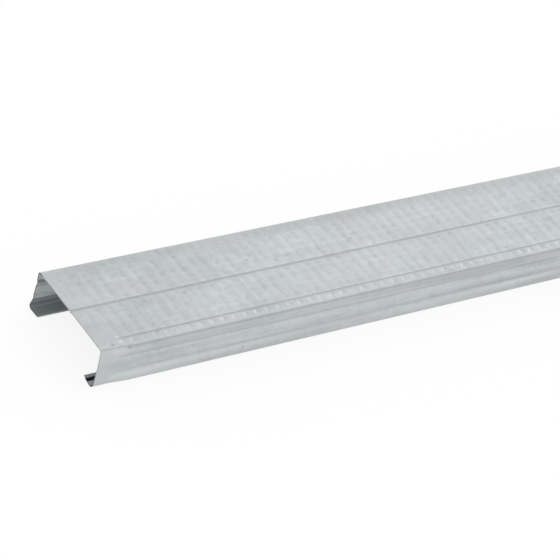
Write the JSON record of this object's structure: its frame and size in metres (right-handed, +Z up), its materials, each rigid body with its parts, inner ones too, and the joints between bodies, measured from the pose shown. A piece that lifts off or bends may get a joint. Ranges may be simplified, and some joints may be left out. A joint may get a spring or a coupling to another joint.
{
  "type": "ceiling furring channel",
  "caption": "Roll-formed galvanised steel furring channel: a shallow hat section with a grooved web, ribbed legs and lips turned inwards.",
  "frame": {"origin": "middle of the length and of the width, on the underside of the lips, which is the level the channel lies on", "axes": "+X along the length, +Z up out of the web's face, and Y across the section"},
  "size_m": [2.4, 0.0504, 0.019],
  "materials": {
    "galvanised_steel": "satin"
  },
  "bodies": {
    "root": {"furring_channel": "galvanised_steel"}
  },
  "joints": []
}
